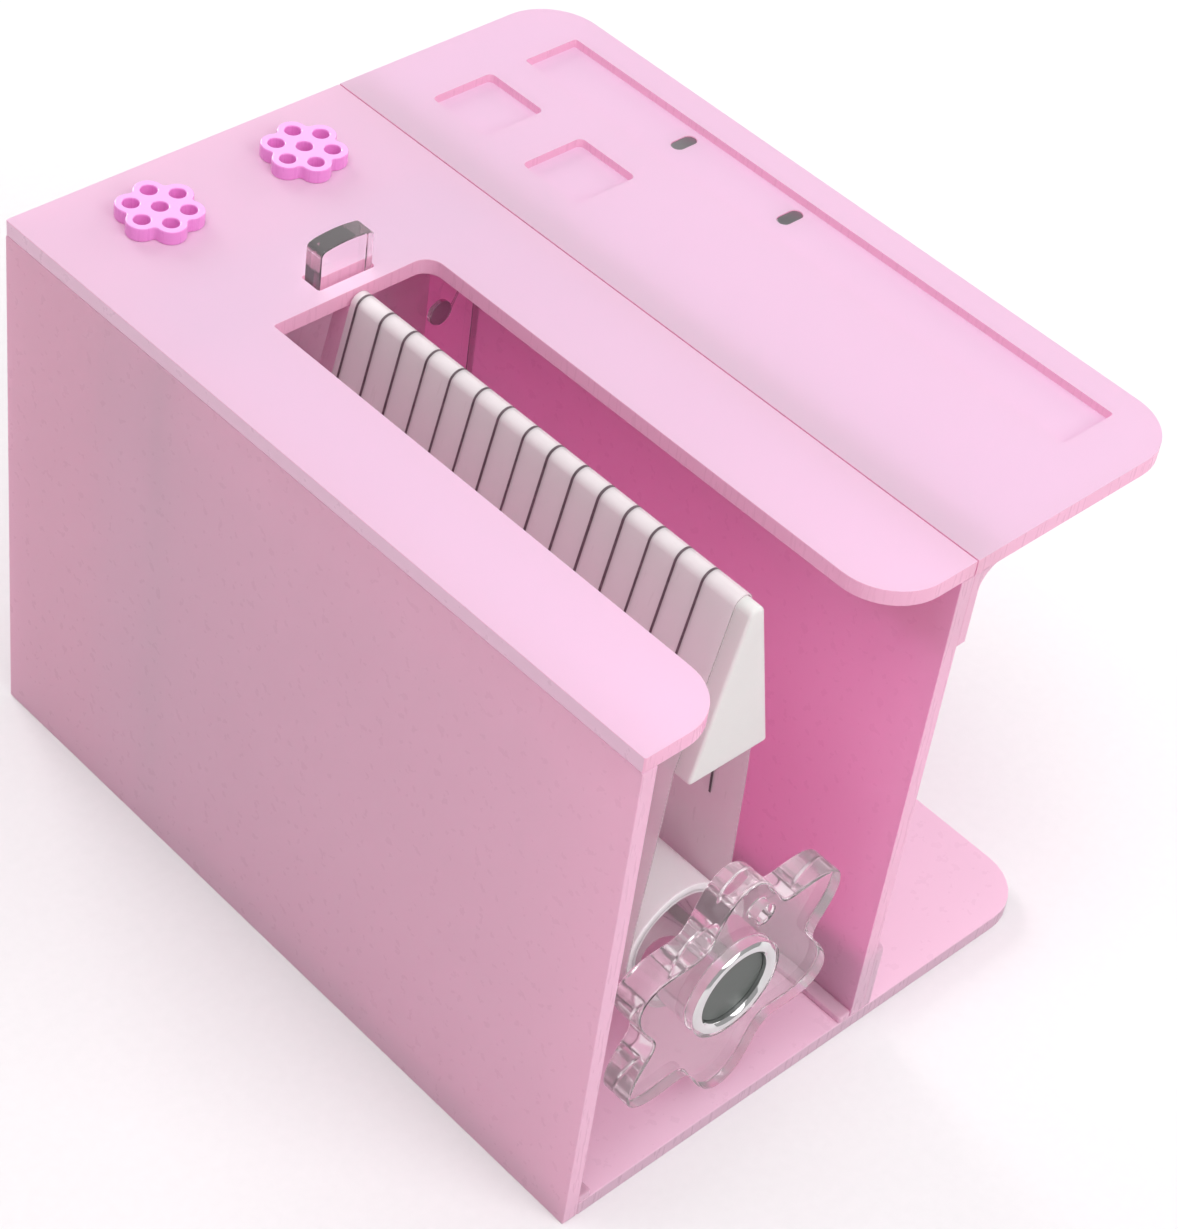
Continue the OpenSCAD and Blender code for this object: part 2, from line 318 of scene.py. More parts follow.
# cut edge: a tone of its own, with the fine upright ripple that a laser leaves
edgeLook = {
    "pinkEdge": {"tone": (0.93, 0.62, 0.78), "through": (1.0, 0.60, 0.78), "share": 0.35},
    # the pale edge is darker than the lid's face: partly the cut edge's deeper pink, partly painted shade
    # toning down the front-lit edges
    "paleEdgeAndShade": {"tone": (0.90, 0.55, 0.69), "through": (1.0, 0.60, 0.78), "share": 0.35},
    "magentaEdge": {"tone": (0.96, 0.34, 0.80), "through": (1.0, 0.30, 0.80), "share": 0.15},
}
edgeRipple = (1.0, 1.0, 0.10)  # the ripple is drawn out upwards


def makeEdge(name, look):
    material, nodes, links, shader, where = newMaterial(name)
    ripple = addNoise(nodes, links, where, 1500, 2, 0.5, edgeRipple)
    low, high = mixTones(look["tone"], 0.005)
    links.new(addColours(nodes, links, ripple, [(0.3, low), (0.7, high)]), shader.inputs["Base Color"])
    links.new(addRange(nodes, links, ripple, 0.25, 0.33, 0.3, 0.7), shader.inputs["Roughness"])
    addBump(nodes, links, shader, [(ripple, 0.03, 0.00004)])
    shader.inputs["IOR"].default_value = 1.49
    shader.inputs["Coat Weight"].default_value = 0.3
    shader.inputs["Coat Roughness"].default_value = 0.15
    letThrough(nodes, links, shader, look["through"], look["share"])
    return material


def letLampsThrough(nodes, links, shader, shade):
    # clear sheet throws only a faint shadow
    kind = nodes.new("ShaderNodeLightPath")
    clear = nodes.new("ShaderNodeBsdfTransparent")
    clear.inputs["Color"].default_value = (*shade, 1)
    blend = nodes.new("ShaderNodeMixShader")
    links.new(kind.outputs["Is Shadow Ray"], blend.inputs["Fac"])
    links.new(shader.outputs["BSDF"], blend.inputs[1])
    links.new(clear.outputs["BSDF"], blend.inputs[2])
    links.new(blend.outputs["Shader"], nodes["Material Output"].inputs["Surface"])


# clear cast sheet: the broad faces are polished, the cut edges keep a fine ripple
clearLook = {
    # both clear tones carry a faint pink tint, a painted reflection of the pink case round the knob; the
    # edge's part that does not transmit (clear below 1) is partly the frosted cut edge and partly a painted
    # whitish highlight
    "clearFace": {"tone": (1.0, 0.955, 0.975), "shade": (0.95, 0.94, 0.945),
                  "rough": (0.0, 0.03), "ripple": 0.02,
                  "scale": 220, "stretch": None, "clear": 1.0},
    "clearEdge": {"tone": (1.0, 0.92, 0.95), "shade": (0.85, 0.82, 0.83),
                  "rough": (0.02, 0.10), "ripple": 0.16,
                  "scale": 900, "stretch": (1.0, 0.08, 1.0), "clear": 0.86},
}


def makeClear(name, look):
    material, nodes, links, shader, where = newMaterial(name)
    ripple = addNoise(nodes, links, where, look["scale"], 2, 0.5, look["stretch"])
    links.new(addRange(nodes, links, ripple, *look["rough"], 0.3, 0.7), shader.inputs["Roughness"])
    addBump(nodes, links, shader, [(ripple, look["ripple"], 0.0001)])
    shader.inputs["Base Color"].default_value = (*look["tone"], 1)
    shader.inputs["Transmission Weight"].default_value = look["clear"]
    shader.inputs["IOR"].default_value = 1.49
    shader.inputs["Specular IOR Level"].default_value = 0.28
    letLampsThrough(nodes, links, shader, look["shade"])
    return material


# milky white bar: sanded faces with a silky sheen and light that sinks in a little
def makeMilky(name, tone, rough, under, grain):
    material, nodes, links, shader, where = newMaterial(name)
    cloud = addNoise(nodes, links, where, 60, 4)
    low, high = mixTones(tone, 0.02)
    links.new(addColours(nodes, links, cloud, [(0.3, low), (0.7, high)]), shader.inputs["Base Color"])
    sanding = addNoise(nodes, links, where, 1800, 3, 0.6, grain)
    links.new(addRange(nodes, links, sanding, *rough, 0.3, 0.7), shader.inputs["Roughness"])
    addBump(nodes, links, shader, [(sanding, 0.10, 0.00005)])
    shader.inputs["Subsurface Weight"].default_value = under
    shader.inputs["Subsurface Radius"].default_value = (0.0040, 0.0032, 0.0034)
    shader.inputs["Subsurface Scale"].default_value = 1.0
    shader.inputs["IOR"].default_value = 1.47
    return material


# thin film: hazy and half see-through, with a faint crosswise draw from its rollers
filmLook = {
    # the film's colours and the light it lets through are tinted pink: painted reflection of the pink case
    # on the white film
    "low": (0.995, 0.93, 0.95), "high": (1.0, 0.94, 0.96),
    "through": (1.0, 0.90, 0.94), "share": 0.18, "seeThrough": 0.40,
}


def makeFilm(name):
    material, nodes, links, shader, where = newMaterial(name)
    draw = addNoise(nodes, links, where, 300, 4, 0.55, (0.4, 3.0, 0.4))
    links.new(addColours(nodes, links, draw, [(0.3, filmLook["low"]), (0.7, filmLook["high"])]),
              shader.inputs["Base Color"])
    links.new(addRange(nodes, links, draw, 0.27, 0.32, 0.3, 0.7), shader.inputs["Roughness"])
    addBump(nodes, links, shader, [(draw, 0.02, 0.00004)])
    shader.inputs["Coat Weight"].default_value = 0.15
    shader.inputs["Coat Roughness"].default_value = 0.2
    through = nodes.new("ShaderNodeBsdfTranslucent")
    through.inputs["Color"].default_value = (*filmLook["through"], 1)
    cloudy = nodes.new("ShaderNodeMixShader")
    cloudy.inputs["Fac"].default_value = filmLook["share"]
    links.new(shader.outputs["BSDF"], cloudy.inputs[1])
    links.new(through.outputs["BSDF"], cloudy.inputs[2])
    clear = nodes.new("ShaderNodeBsdfTransparent")
    blend = nodes.new("ShaderNodeMixShader")
    blend.inputs["Fac"].default_value = filmLook["seeThrough"]
    links.new(cloudy.outputs["Shader"], blend.inputs[1])
    links.new(clear.outputs["BSDF"], blend.inputs[2])
    links.new(blend.outputs["Shader"], nodes["Material Output"].inputs["Surface"])
    return material


def makeInk(name):
    material, nodes, links, shader, where = newMaterial(name)
    wear = addNoise(nodes, links, where, 900, 4, 0.7)
    links.new(addColours(nodes, links, wear, [(0.25, (0.075, 0.050, 0.060)), (0.8, (0.17, 0.12, 0.14))]),
              shader.inputs["Base Color"])
    links.new(addRange(nodes, links, wear, 0.35, 0.55), shader.inputs["Roughness"])
    return material


# plated or turned metal, with the lathe's rings round the roller axis
def makeMetal(name, tone, rough, ringScale, ringBump):
    material, nodes, links, shader, where = newMaterial(name)
    smear = addNoise(nodes, links, where, 160, 4, 0.6)
    low, high = mixTones(tone, 0.05)
    links.new(addColours(nodes, links, smear, [(0.3, low), (0.7, high)]), shader.inputs["Base Color"])
    links.new(addRange(nodes, links, smear, *rough, 0.3, 0.7), shader.inputs["Roughness"])
    rings = addNoise(nodes, links, where, ringScale, 2, 0.5, (0.04, 1.0, 0.04))
    addBump(nodes, links, shader, [(rings, ringBump, 0.00003)])
    shader.inputs["Metallic"].default_value = 1.0
    return material


def makePlug(name):
    material, nodes, links, shader, where = newMaterial(name)
    grain = addNoise(nodes, links, where, 1400, 5, 0.7)
    stops = [(0.3, (0.080, 0.092, 0.084)), (0.7, (0.104, 0.118, 0.108))]
    links.new(addColours(nodes, links, grain, stops), shader.inputs["Base Color"])
    links.new(addRange(nodes, links, grain, 0.38, 0.55, 0.3, 0.7), shader.inputs["Roughness"])
    addBump(nodes, links, shader, [(grain, 0.15, 0.00004)])
    return material


materials = {name: makeSheet(name, look) for name, look in sheetLook.items()}
materials.update({name: makeEdge(name, look) for name, look in edgeLook.items()})
materials.update({name: makeClear(name, look) for name, look in clearLook.items()})
# the bar's tone is held down to a grey white: painted shade for its end face, the only part the film leaves
# bare
materials["shadedMilkyBar"] = makeMilky("shadedMilkyBar", (0.73, 0.715, 0.70), (0.30, 0.45), 0.35, (1.0, 0.1, 1.0))
materials["whiteRoll"] = makeMilky("whiteRoll", (0.95, 0.94, 0.94), (0.35, 0.5), 0.2, (0.2, 1.0, 0.2))
materials["nylon"] = makeMilky("nylon", (0.74, 0.72, 0.68), (0.40, 0.55), 0.2, (1.0, 1.0, 1.0))
materials["film"] = makeFilm("film")
materials["ruleInk"] = makeInk("ruleInk")
materials["chrome"] = makeMetal("chrome", (0.74, 0.735, 0.74), (0.05, 0.14), 1400, 0.06)
materials["turnedSteel"] = makeMetal("turnedSteel", (0.52, 0.52, 0.53), (0.22, 0.36), 2200, 0.25)
materials["magnetPlating"] = makeMetal("magnetPlating", (0.37, 0.355, 0.37), (0.34, 0.48), 900, 0.10)
materials["plugDisc"] = makePlug("plugDisc")
print("materials made:", len(materials))

# sheets of the case
# every plain sheet: its CAD node, which way it faces, and its corner radii from the low corner round
sheets = {
    "baseSheet": {"node": "base_plate", "turn": "lying", "radii": (0.4, 9.5, 9.5, 0.4),
                  "face": "baseSheet"},
    "leftWall": {"node": "left_wall", "turn": "sideways", "radii": (0.4, 0.4, 0.4, 0.4)},
    # the right wall takes the sheet with painted shade, a deeper pink than the left wall's
    "rightWall": {"node": "right_wall", "turn": "sideways", "radii": (0.4, 0.4, 0.4, 0.4),
                  "face": "shadedInnerSheet"},
    "innerBackWall": {"node": "bulkhead", "turn": "facingFront", "radii": (0.3, 0.3, 0.3, 0.3),
                      "face": "litBackSheet"},
    "rearWall": {"node": "rear_wall", "turn": "facingFront", "radii": (0.3, 0.3, 0.3, 0.3)},
    "footStrip": {"node": "foot_strip", "turn": "sideways", "radii": (0.5, 0.5, 1.0, 1.0),
                  "face": "baseSheet"},
}
sheetEdge = 0.16  # how far the polishing rounds a sheet's edges
turns = {
    "lying": (lying, lambda v: (v.x, v.y, v.z), (0, 0, 1)),
    "facingFront": (facingFront, lambda v: (v.x, v.z, v.y), (0, 1, 0)),
    "sideways": (sideways, lambda v: (v.y, v.z, v.x), (1, 0, 0)),
}


def makePlainSheet(name, node, turn, radii, face):
    low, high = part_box(node)
    matrix, flatten, normal = turns[turn]
    middle = (low + high) / 2
    w, h, t = flatten((high - low) / mm)
    corners = [(-w / 2, -h / 2), (w / 2, -h / 2), (w / 2, h / 2), (-w / 2, h / 2)]
    outline = filletOutline([(x, y, r) for (x, y), r in zip(corners, radii)])
    mesh = flatMesh(name, [outline], t, min(sheetEdge, t / 4))
    setMesh(mesh, matrix, middle)
    sheetMaterials(mesh, materials[face], materials["pinkEdge"], normal)
    weightNormals(newPiece(name, mesh, "case", [node]))


for name, spec in sheets.items():
    makePlainSheet(name, spec["node"], spec["turn"], spec["radii"], spec.get("face", "pinkSheet"))

# the two low floor rails are one CAD node, so each gets its own bar from that node's two ends
rails = {"width": 2.6, "edge": 0.35, "corner": 0.5}


def makeRails():
    low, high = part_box("floor_rails")
    size = (high - low) / mm
    half = rails["width"] / 2
    outline = rounded(rectangle(-half, -size.y / 2, half, size.y / 2), rails["corner"])
    for side, x in (("Left", low.x + half * mm), ("Right", high.x - half * mm)):
        mesh = flatMesh("floorRail" + side, [outline], size.z, rails["edge"])
        setMesh(mesh, lying, Vector((x, (low.y + high.y) / 2, (low.z + high.z) / 2)))
        sheetMaterials(mesh, materials["pinkSheet"], materials["pinkEdge"], (0, 0, 1))
        weightNormals(newPiece("floorRail" + side, mesh, "case", ["floor_rails"]))


makeRails()

# strip under the shelf: a thin strip that flares out to carry the overhang
shelfStrip = {"thickness": 1.8, "edge": 0.2, "steps": 10}


def makeShelfStrip():
    low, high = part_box("shelf_strip")
    size = (high - low) / mm
    t = shelfStrip["thickness"]
    flare = size.x - t
    steps = shelfStrip["steps"]
    curve = [(t + flare * (1 - cos(a)), size.z - flare * (1 - sin(a)))
             for a in [pi / 2 * k / steps for k in range(steps + 1)]]
    outline = [(0, 0), (t, 0)] + curve + [(0, size.z)]
    outline = [Vector(p) - Vector((size.x / 2, size.z / 2)) for p in outline]
    mesh = flatMesh("shelfStrip", [outline], size.y, shelfStrip["edge"])
    setMesh(mesh, facingFront, (low + high) / 2)
    sheetMaterials(mesh, materials["pinkEdge"], materials["pinkSheet"], (0, 1, 0))
    weightNormals(newPiece("shelfStrip", mesh, "case", ["shelf_strip"]))


makeShelfStrip()
print("case sheets done")

# shelf with its recesses
shelf = {
    "cornerRadius": 10,
    "toolRecess": (94.8, 10, 106.2, 128.4),  # left, front, right, back
    "squareRecesses": [(74.8, 94.2, 87.6, 107.0), (74.8, 115.9, 87.6, 128.7)],
    "toolCorner": 0.5,
    "squareCorner": 1.0,
    "depth": 1.5,
    "recessEdge": 0.16,
}


def prism(name, outline, z0, z1):
    work = bmesh.new()
    base = [work.verts.new(place(x, y, z0)) for x, y in outline]
    top = [work.verts.new(place(x, y, z1)) for x, y in outline]
    work.faces.new(base)
    work.faces.new(top)
    for k in range(len(outline)):
        n = (k + 1) % len(outline)
        work.faces.new((base[k], base[n], top[n], top[k]))
    bmesh.ops.recalc_face_normals(work, faces=work.faces)
    mesh = bpy.data.meshes.new(name)
    work.to_mesh(mesh)
    work.free()
    return mesh


def applied(piece):
    graph = bpy.context.evaluated_depsgraph_get()
    mesh = bpy.data.meshes.new_from_object(piece.evaluated_get(graph))
    piece.modifiers.clear()
    old = piece.data
    piece.data = mesh
    bpy.data.meshes.remove(old)
    return piece


def cutAway(piece, cutters):
    for mesh in cutters:
        knife = bpy.data.objects.new("cutter", mesh)
        bpy.context.scene.collection.objects.link(knife)
        cut = piece.modifiers.new("cut", "BOOLEAN")
        cut.operation = "DIFFERENCE"
        cut.solver = "EXACT"
        cut.object = knife
        applied(piece)
        bpy.data.objects.remove(knife)
        bpy.data.meshes.remove(mesh)


def bevelled(piece, width, segments=3, angle=40):
    bevel = piece.modifiers.new("edges", "BEVEL")
    bevel.width = width * mm
    bevel.segments = segments
    bevel.limit_method = "ANGLE"
    bevel.angle_limit = radians(angle)
    bevel.harden_normals = True
    applied(piece)
    smoothShade(piece.data)


# oval magnets set into the floor of the tool recess
ovalMagnet = {
    "x": 102.3, "ys": (73.9, 98.1), "length": 5.0, "width": 2.4,
    "depth": 0.9, "edge": 0.2, "gap": 0.04, "low": 0.08,
}


def ovalOutline(x, y, grow=0.0):
    half, r = ovalMagnet["length"] / 2 + grow, ovalMagnet["width"] / 2 + grow
    return filletOutline([(x - half, y - r, r - 0.001), (x + half, y - r, r - 0.001),
                          (x + half, y + r, r - 0.001), (x - half, y + r, r - 0.001)], 12)


def makeShelf():
    low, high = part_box("shelf_plate")
    lowMm, highMm = (low - corner) / mm, (high - corner) / mm
    r = shelf["cornerRadius"]
    outline = filletOutline([(lowMm.x, lowMm.y, 0), (highMm.x, lowMm.y, r),
                             (highMm.x, highMm.y, r), (lowMm.x, highMm.y, 0)], 14)
    piece = newPiece("shelfSheet", prism("shelfSheet", outline, lowMm.z, highMm.z), "case",
                     ["shelf_plate"])
    floor = highMm.z - shelf["depth"]
    above = highMm.z + 1
    recess = rounded(rectangle(*shelf["toolRecess"]), shelf["toolCorner"])
    cutters = [prism("cut", recess, floor, above)]
    for square in shelf["squareRecesses"]:
        recess = rounded(rectangle(*square), shelf["squareCorner"])
        cutters.append(prism("cut", recess, floor, above))
    for y in ovalMagnet["ys"]:
        cutters.append(prism("cut", ovalOutline(ovalMagnet["x"], y, ovalMagnet["gap"]),
                             floor - ovalMagnet["depth"], above))
    cutAway(piece, cutters)
    bevelled(piece, shelf["recessEdge"])
    sheetMaterials(piece.data, materials["paleSheet"], materials["paleEdgeAndShade"], (0, 0, 1))
    weightNormals(piece)
    return floor


recessFloor = makeShelf()
for label, y in zip(("Front", "Back"), ovalMagnet["ys"]):
    depth = ovalMagnet["depth"] - ovalMagnet["low"]
    mesh = flatMesh("shelfMagnet" + label, [ovalOutline(0, 0)], depth, ovalMagnet["edge"])
    setMesh(mesh, lying, place(ovalMagnet["x"], y, recessFloor - ovalMagnet["low"] - depth / 2))
    mesh.materials.append(materials["magnetPlating"])
    weightNormals(newPiece("shelfMagnet" + label, mesh, "case", ["shelf_magnets"]))
print("shelf and magnets done")

# lid with its slot
lid = {
    "slotLeft": 17, "slotRight": 47.3, "slotBack": 97.3,
    "leftArmRadius": 9, "rightArmRadius": 10, "slotCorner": 3,
    "tabHole": (27.7, 99.9, 38.6, 104.1),
    "edge": 0.16,
}


def makeLid():
    low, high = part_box("lid_plate")
    lowMm, highMm = (low - corner) / mm, (high - corner) / mm
    left, right, back = lid["slotLeft"], lid["slotRight"], lid["slotBack"]
    outline = filletOutline([
        (lowMm.x, lowMm.y, 0.4), (left, lowMm.y, lid["leftArmRadius"]), (left, back, 0.4),
        (right, back, lid["slotCorner"]), (right, lowMm.y, lid["rightArmRadius"]),
        (highMm.x, lowMm.y, 0.2), (highMm.x, highMm.y, 0.2), (lowMm.x, highMm.y, 0.4)], 12)
    hole = rounded(rectangle(*lid["tabHole"]), 0.5)
    mesh = flatMesh("lidSheet", [outline, hole], highMm.z - lowMm.z, lid["edge"])
    setMesh(mesh, lying, corner + Vector((0, 0, (lowMm.z + highMm.z) / 2 * mm)))
    sheetMaterials(mesh, materials["lidSheet"], materials["paleEdgeAndShade"], (0, 0, 1))
    mesh.materials.append(materials["lidShadedSide"])  # the side over the left wall gets a darker copy of the sheet: painted shade so it matches the shaded left wall
    for polygon in mesh.polygons:
        if polygon.normal.x < -0.9 and polygon.center.x < low.x + mm:
            polygon.material_index = 2
    piece = newPiece("lidSheet", mesh, "lid", ["lid_plate"])
    weightNormals(piece)


makeLid()

# flower badges: six petals round a middle, each with a hole
badge = {"pitch": 4.4, "petal": 2.5, "hole": 1.3, "turn": 15, "edge": 0.3, "neck": 0.7}


def flowerOutline(pitch, petal, turn, neck, petals=6, count=20):
    # petal arcs joined by small hollow arcs of radius neck
    step = 2 * pi / petals
    # the hollow arc touches both neighbours: its centre is on the line between two petals
    reach = pitch * cos(step / 2)
    side = pitch * sin(step / 2)
    far = reach + ((petal + neck) ** 2 - side ** 2) ** 0.5
    outline = []
    for k in range(petals):
        axis = radians(turn) + k * step
        petalCentre = Vector((pitch * cos(axis), pitch * sin(axis)))
        hollows = [Vector((far * cos(a), far * sin(a))) for a in (axis - step / 2, axis + step / 2)]
        ends = [atan2(*reversed(h - petalCentre)) for h in hollows]
        sweep = (ends[1] - ends[0]) % (2 * pi)
        for i in range(count + 1):
            a = ends[0] + sweep * i / count
            outline.append(petalCentre + Vector((cos(a), sin(a))) * petal)
        nextCentre = Vector((pitch * cos(axis + step), pitch * sin(axis + step)))
        a0 = atan2(*reversed(petalCentre - hollows[1]))
        a1 = atan2(*reversed(nextCentre - hollows[1]))
        bend = (a1 - a0 + pi) % (2 * pi) - pi
        for i in range(1, 6):
            a = a0 + bend * i / 6
            outline.append(hollows[1] + Vector((cos(a), sin(a))) * neck)
    return outline


def makeBadge(name, node):
    low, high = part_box(node)
    outline = flowerOutline(badge["pitch"], badge["petal"], badge["turn"], badge["neck"])
    holes = [circleOutline(0, 0, badge["hole"], 32)]
    for k in range(6):
        a = radians(badge["turn"] + 60 * k)
        holes.append(circleOutline(badge["pitch"] * cos(a), badge["pitch"] * sin(a), badge["hole"], 32))
    mesh = flatMesh(name, [outline] + holes, (high - low).z / mm, badge["edge"])
    setMesh(mesh, lying, (low + high) / 2)
    sheetMaterials(mesh, materials["magentaSheet"], materials["magentaEdge"], (0, 0, 1))
    piece = newPiece(name, mesh, "lid", [node])
    weightNormals(piece)


makeBadge("flowerBadgeLeft", "flower_badge_left")
makeBadge("flowerBadgeRight", "flower_badge_right")
print("lid and badges done")

# clear carrier plate, bearing, wedge
carrier = {"tabLeft": 28, "tabRight": 38.3, "tabCorner": 1.1, "crown": 0.55, "neck": 0.6, "edge": 0.3,
           "boreRadius": 6.0}
plateMagnet = {"rim": 0.25, "gap": 0.03}
axisLow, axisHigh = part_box("roller_core")
axis = (axisLow + axisHigh) / 2  # the roller's axis runs along Y through here
axisMm = (axis - corner) / mm


def makeCarrier():
    low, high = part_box("carrier_plate")
    lowMm, highMm = (low - corner) / mm, (high - corner) / mm
    plateTop = (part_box("lid_plate")[0].z - corner.z) / mm - 0.05
    left, right, top = carrier["tabLeft"], carrier["tabRight"], highMm.z
    r, neck, crown = carrier["tabCorner"], carrier["neck"], carrier["crown"]
    # the tab's top is a shallow arch
    arch = [(left + (right - left) * t, top - crown * (2 * t - 1) ** 2, 0)
            for t in (0.8, 0.65, 0.5, 0.35, 0.2)]
    outline = filletOutline([
        (lowMm.x, lowMm.z, 0.3), (highMm.x, lowMm.z, 0.3), (highMm.x, plateTop, 0.3),
        (right, plateTop, neck), (right, top - crown, r), *arch, (left, top - crown, r),
        (left, plateTop, neck), (lowMm.x, plateTop, 0.3)], 6)
    hole = circleOutline(axisMm.x, axisMm.z, carrier["boreRadius"], 64)
    mesh = flatMesh("carrierPlate", [outline, hole], (high - low).y / mm, carrier["edge"])
    setMesh(mesh, facingFront, corner + Vector((0, (lowMm.y + highMm.y) / 2 * mm, 0)))
    piece = newPiece("carrierPlate", mesh, "case", ["carrier_plate"])
    magnetLow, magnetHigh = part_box("plate_magnet")
    middle, size = (magnetLow + magnetHigh) / 2, (magnetHigh - magnetLow) / mm
    pocket = latheMesh("cut", [(0, -1), (size.x / 2 + plateMagnet["gap"], -1),
                               (size.x / 2 + plateMagnet["gap"], size.y), (0, size.y)], count=48)
    cutAway(piece, [setMesh(pocket, lying, Vector((middle.x, magnetLow.y, middle.z)))])
    smoothShade(piece.data)
    sheetMaterials(piece.data, materials["clearFace"], materials["clearEdge"], (0, 1, 0))
    weightNormals(piece)
    disc = discMesh("plateMagnet", size.x / 2, size.y, plateMagnet["rim"])
    setMesh(disc, lying, Vector((middle.x, magnetLow.y, middle.z)))
    disc.materials.append(materials["magnetPlating"])
    weightNormals(newPiece("plateMagnet", disc, "case", ["plate_magnet"]))


def discMesh(name, r, depth, edge):
    # a disc with a rounded rim, its front face at y = 0
    profile = [(0, 0), (r - edge, 0)]
    for a in [pi / 2 * k / 4 for k in range(1, 5)]:
        profile.append((r - edge + edge * sin(a), edge - edge * cos(a)))
    profile += [(r, depth), (0, depth)]
    return latheMesh(name, profile, count=48)


makeCarrier()


def makeTurned(name, profile, body, material, replaced, closed=False):
    # profile is (radius, y) with y in millimetres from the case's front
    mesh = latheMesh(name, profile, closed)
    setMesh(mesh, lying, Vector((axis.x, corner.y, axis.z)))
    mesh.materials.append(materials[material])
    weightNormals(newPiece(name, mesh, body, replaced))


def frontBack(node):
    low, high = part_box(node)
    return (low.y - corner.y) / mm, (high.y - corner.y) / mm


def ring(inner, outer, y0, y1, r=0.25):
    return softCorners([(inner, y0), (outer, y0), (outer, y1), (inner, y1)], r)


bearing = {"bore": 3.05, "barrel": 6.0, "flange": 8.0, "flangeDepth": 1.2}
y0, y1 = frontBack("rear_bearing")
yFlange = y1 - bearing["flangeDepth"]
bearingProfile = softCorners([
    (bearing["bore"], y0), (bearing["barrel"], y0), (bearing["barrel"], yFlange),
    (bearing["flange"], yFlange), (bearing["flange"], y1), (bearing["bore"], y1)], 0.2)
makeTurned("rearBearing", bearingProfile, "case", "nylon", ["rear_bearing"], closed=True)

wedge = {"tipRadius": 1.5, "heel": 0.6, "edge": 0.55, "plateEdge": 0.25}


def wedgeOutline(width, bottom, top, grow=0.0, heel=0.6):
    # a narrow triangle with a round tip, counted from its own middle line
    half = width / 2 + grow
    tip = top + grow + wedgeTipLift(width, bottom, top, grow)
    return filletOutline([(-half, bottom - grow, heel), (half, bottom - grow, heel),
                          (0, tip, wedge["tipRadius"] + grow)], 12)


def wedgeTipLift(width, bottom, top, grow):
    # how far the sharp corner stands over the rounded tip
    r = wedge["tipRadius"] + grow
    lift = r
    for _ in range(12):
        half = atan2(width / 2 + grow, top + 2 * grow + lift - bottom)
        lift = r / sin(half) - r
    return lift


def makeWedge():
    low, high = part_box("wedge_bar")
    lowMm, highMm = (low - corner) / mm, (high - corner) / mm
    middle = (lowMm.x + highMm.x) / 2
    width = highMm.x - lowMm.x
    around = wedgeOutline(width, lowMm.z, highMm.z, 0, wedge["heel"])
    outline = [Vector((x + middle, z)) for x, z in around]
    mesh = flatMesh("wedgeBar", [outline], highMm.y - lowMm.y, wedge["edge"], 4)
    setMesh(mesh, facingFront, corner + Vector((0, (lowMm.y + highMm.y) / 2 * mm, 0)))
    mesh.materials.append(materials["shadedMilkyBar"])
    weightNormals(newPiece("wedgeBar", mesh, "case", ["wedge_bar"]))

    plateLow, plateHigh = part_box("wedge_end_plate")
    top = (plateHigh.z - corner.z) / mm
    slope = (width / 2) / (highMm.z + wedgeTipLift(width, lowMm.z, highMm.z, 0) - lowMm.z)
    cut = width / 2 - slope * (top - lowMm.z)
    outline = filletOutline([(middle - width / 2, lowMm.z, 0.6), (middle + width / 2, lowMm.z, 0.6),
                             (middle + cut, top, 0.25), (middle - cut, top, 0.25)], 6)
    mesh = flatMesh("wedgeEndPlate", [outline], (plateHigh - plateLow).y / mm, wedge["plateEdge"])
    setMesh(mesh, facingFront, corner + Vector((0, ((plateLow + plateHigh) / 2 - corner).y, 0)))
    sheetMaterials(mesh, materials["pinkSheet"], materials["pinkEdge"], (0, 1, 0))
    weightNormals(newPiece("wedgeEndPlate", mesh, "case", ["wedge_end_plate"]))
    return middle, width, lowMm.z, highMm.z


wedgeX, wedgeWidth, wedgeBottom, wedgeTop = makeWedge()
print("carrier and wedge done")

# ruled film
film = {
    "thickness": 0.32, "gap": 0.06, "turnRadius": 10.2, "wave": 0.10, "waveFade": 8, "spacing": 2.0,
    "rulePitch": 5.3, "ruleCount": 15, "firstRule": 95.5, "ruleWidth": 0.46, "ruleEnd": 48.5,
    "ruleProud": 0.015, "ruleWobble": 0.05,
}


def spread(points, spacing):
    # evenly spaced points round a closed chain of straight stretches
    out = []
    for a, b in zip(points, points[1:] + points[:1]):
        parts = max(1, round((b - a).length / spacing))
        out += [a.lerp(b, k / parts) for k in range(parts)]
    return out


def filmLoop():
    # the taut line round roller and wedge, clockwise from the roller's left side
    around = circleOutline(axisMm.x, axisMm.z, film["turnRadius"], 96)
    around += [Vector((x + wedgeX, z)) for x, z in
               wedgeOutline(wedgeWidth, wedgeBottom, wedgeTop, film["gap"], 0.5)]
    order = [around[i] for i in geometry.convex_hull_2d(around)]
    area = sum(a.x * b.y - b.x * a.y for a, b in zip(order, order[1:] + order[:1]))
    if area > 0:
        order.reverse()
    first = min(range(len(order)), key=lambda k: order[k].x)
    return spread(order[first:] + order[:first], film["spacing"])


filmPath = filmLoop()
filmLow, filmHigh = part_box("ruled_film")
filmFront, filmBack = (filmLow.y - corner.y) / mm, (filmHigh.y - corner.y) / mm


def outward(path, k):
    n = len(path)
    along = (path[(k + 1) % n] - path[k - 1]).normalized()
    return Vector((-along.y, along.x))


def filmWave(k, y):
    # the free runs below the wedge are not quite flat
    z = filmPath[k].y
    fade = film["waveFade"]
    free = max(0.0, min(1.0, (wedgeBottom - 3 - z) / fade)) * max(0.0, min(1.0, (z - axisMm.z) / fade))
    return film["wave"] * free * (1 + sin(y * 0.21 + z * 0.13 + (3 if filmPath[k].x > wedgeX else 0)))


